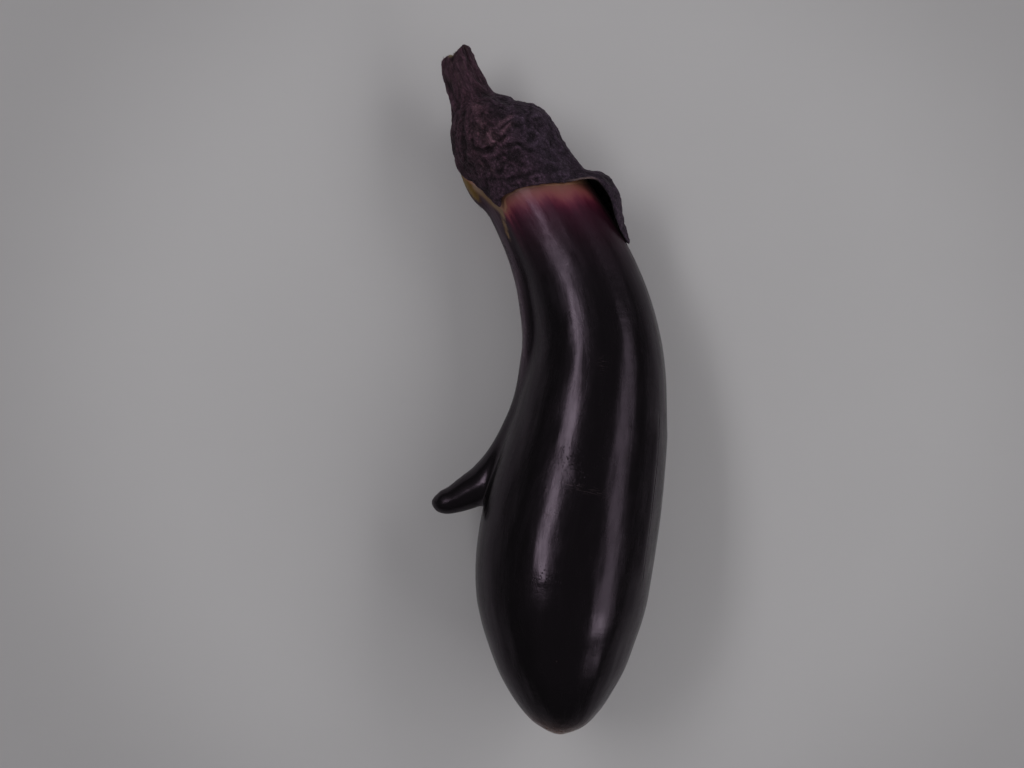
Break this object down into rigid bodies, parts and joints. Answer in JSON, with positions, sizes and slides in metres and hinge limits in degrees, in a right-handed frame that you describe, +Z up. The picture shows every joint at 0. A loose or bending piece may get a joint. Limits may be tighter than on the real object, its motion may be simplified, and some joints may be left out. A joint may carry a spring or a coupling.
{
  "type": "eggplant",
  "caption": "Long, slightly curved, glossy dark purple eggplant lying on its side, with a nose-like horn on one flank, a leathery calyx and a short cut stalk.",
  "frame": {"origin": "on the surface that the eggplant lies on, under the middle of its bounding box", "axes": "+Y along its length from the blossom end to the stalk, +Z up, +X to the right when it is seen from above with the stalk at the top"},
  "size_m": [0.0649, 0.1895, 0.0485],
  "materials": {
    "skin": "smooth, glossy, near-black purple fruit skin with a thin waxy bloom",
    "sepal": "matte, leathery, finely wrinkled dark purple-grey sepals",
    "stalk": "matte, ribbed, woody dark purple stalk with a pale cut end"
  },
  "bodies": {
    "root": {"fruit": "skin", "calyx": "sepal", "stalk": "stalk"}
  },
  "joints": []
}
